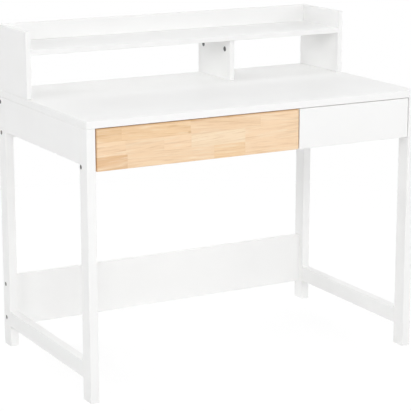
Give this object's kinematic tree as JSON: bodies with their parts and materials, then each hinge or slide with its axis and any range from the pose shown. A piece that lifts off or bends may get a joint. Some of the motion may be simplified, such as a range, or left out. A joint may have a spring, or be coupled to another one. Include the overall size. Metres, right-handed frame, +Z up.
{
  "type": "computer desk",
  "caption": "Free-standing computer desk with flush side frames, a raised shelf unit along the rear of the desktop and handle-less inset drawers on roller slides.",
  "frame": {"origin": "on the floor under the middle of the desk's box", "axes": "+X to the right of someone who sits at the desk, +Y away from them to the back, +Z up"},
  "size_m": [1.02, 0.59, 0.933],
  "materials": {
    "white_paint": "satin white paint on board",
    "pale_wood": "clear matt lacquer on finger-jointed pale wood",
    "drawer_board": "white faced board",
    "slide_steel": "white coated sheet steel",
    "roller_plastic": "plain moulded",
    "dark_steel": "dark plated",
    "cam_zinc": "zinc casting",
    "bright_steel": "bright zinc plated",
    "dowel_wood": "bare fluted hardwood"
  },
  "bodies": {
    "desk_frame": {"desktop": "white_paint", "left_front_leg": "white_paint", "left_rear_leg": "white_paint", "left_side_apron": "white_paint", "left_side_stretcher": "white_paint", "side_frame_dowels": "dowel_wood", "right_front_leg": "white_paint", "right_rear_leg": "white_paint", "right_side_apron": "white_paint", "right_side_stretcher": "white_paint", "rear_apron": "white_paint", "low_back_panel": "white_paint", "front_rail": "white_paint", "frame_bolts": "dark_steel", "barrel_nuts": "bright_steel", "drawer_partition": "white_paint", "long_screws": "bright_steel", "cam_pins": "bright_steel", "cam_discs": "cam_zinc", "hutch_left_side": "white_paint", "hutch_right_side": "white_paint", "hutch_shelf": "white_paint", "hutch_back_rim": "white_paint", "hutch_divider": "white_paint", "hutch_dowels": "dowel_wood", "wide_left_cabinet_slide": "slide_steel", "cabinet_roller_pins": "bright_steel", "cabinet_slide_screws": "bright_steel", "wide_right_cabinet_slide": "slide_steel", "narrow_left_cabinet_slide": "slide_steel", "narrow_right_cabinet_slide": "slide_steel"},
    "wide_drawer": {"wide_drawer_front": "pale_wood", "wide_drawer_left_side": "drawer_board", "wide_drawer_right_side": "drawer_board", "wide_drawer_back": "drawer_board", "wide_drawer_bottom": "drawer_board", "wide_drawer_small_screws": "bright_steel", "wide_drawer_back_screws": "bright_steel", "wide_drawer_cam_pins": "bright_steel", "wide_drawer_cam_discs": "cam_zinc", "wide_left_drawer_slide": "slide_steel", "wide_drawer_roller_pins": "bright_steel", "wide_right_drawer_slide": "slide_steel"},
    "wide_front_rollers": {"wide_front_rollers": "roller_plastic"},
    "wide_rear_rollers": {"wide_rear_rollers": "roller_plastic"},
    "narrow_drawer": {"narrow_drawer_front": "white_paint", "narrow_drawer_left_side": "drawer_board", "narrow_drawer_right_side": "drawer_board", "narrow_drawer_back": "drawer_board", "narrow_drawer_bottom": "drawer_board", "narrow_drawer_small_screws": "bright_steel", "narrow_drawer_back_screws": "bright_steel", "narrow_drawer_cam_pins": "bright_steel", "narrow_drawer_cam_discs": "cam_zinc", "narrow_left_drawer_slide": "slide_steel", "narrow_drawer_roller_pins": "bright_steel", "narrow_right_drawer_slide": "slide_steel"},
    "narrow_front_rollers": {"narrow_front_rollers": "roller_plastic"},
    "narrow_rear_rollers": {"narrow_rear_rollers": "roller_plastic"}
  },
  "joints": [
    {"name": "wide_drawer_slide", "type": "slide", "parent": "desk_frame", "child": "wide_drawer", "axis": [0, -1, 0], "range_m": [0, 0.28]},
    {"name": "wide_front_rollers_turn", "type": "hinge", "parent": "desk_frame", "child": "wide_front_rollers", "pos_m": [0, -0.259, 0.6465], "axis": [1, 0, 0], "range_deg": [-5, 2010]},
    {"name": "wide_rear_rollers_turn", "type": "hinge", "parent": "wide_drawer", "child": "wide_rear_rollers", "pos_m": [0, 0.1083, 0.6465], "axis": [1, 0, 0], "range_deg": [-5, 2010]},
    {"name": "narrow_drawer_slide", "type": "slide", "parent": "desk_frame", "child": "narrow_drawer", "axis": [0, -1, 0], "range_m": [0, 0.28]},
    {"name": "narrow_front_rollers_turn", "type": "hinge", "parent": "desk_frame", "child": "narrow_front_rollers", "pos_m": [0, -0.259, 0.6465], "axis": [1, 0, 0], "range_deg": [-5, 2010]},
    {"name": "narrow_rear_rollers_turn", "type": "hinge", "parent": "narrow_drawer", "child": "narrow_rear_rollers", "pos_m": [0, 0.1083, 0.6465], "axis": [1, 0, 0], "range_deg": [-5, 2010]}
  ],
  "couplings": [
    {"joint": "wide_front_rollers_turn", "follows": "wide_drawer_slide", "rad_per_m": 125},
    {"joint": "wide_rear_rollers_turn", "follows": "wide_drawer_slide", "rad_per_m": 125},
    {"joint": "narrow_front_rollers_turn", "follows": "narrow_drawer_slide", "rad_per_m": 125},
    {"joint": "narrow_rear_rollers_turn", "follows": "narrow_drawer_slide", "rad_per_m": 125}
  ]
}
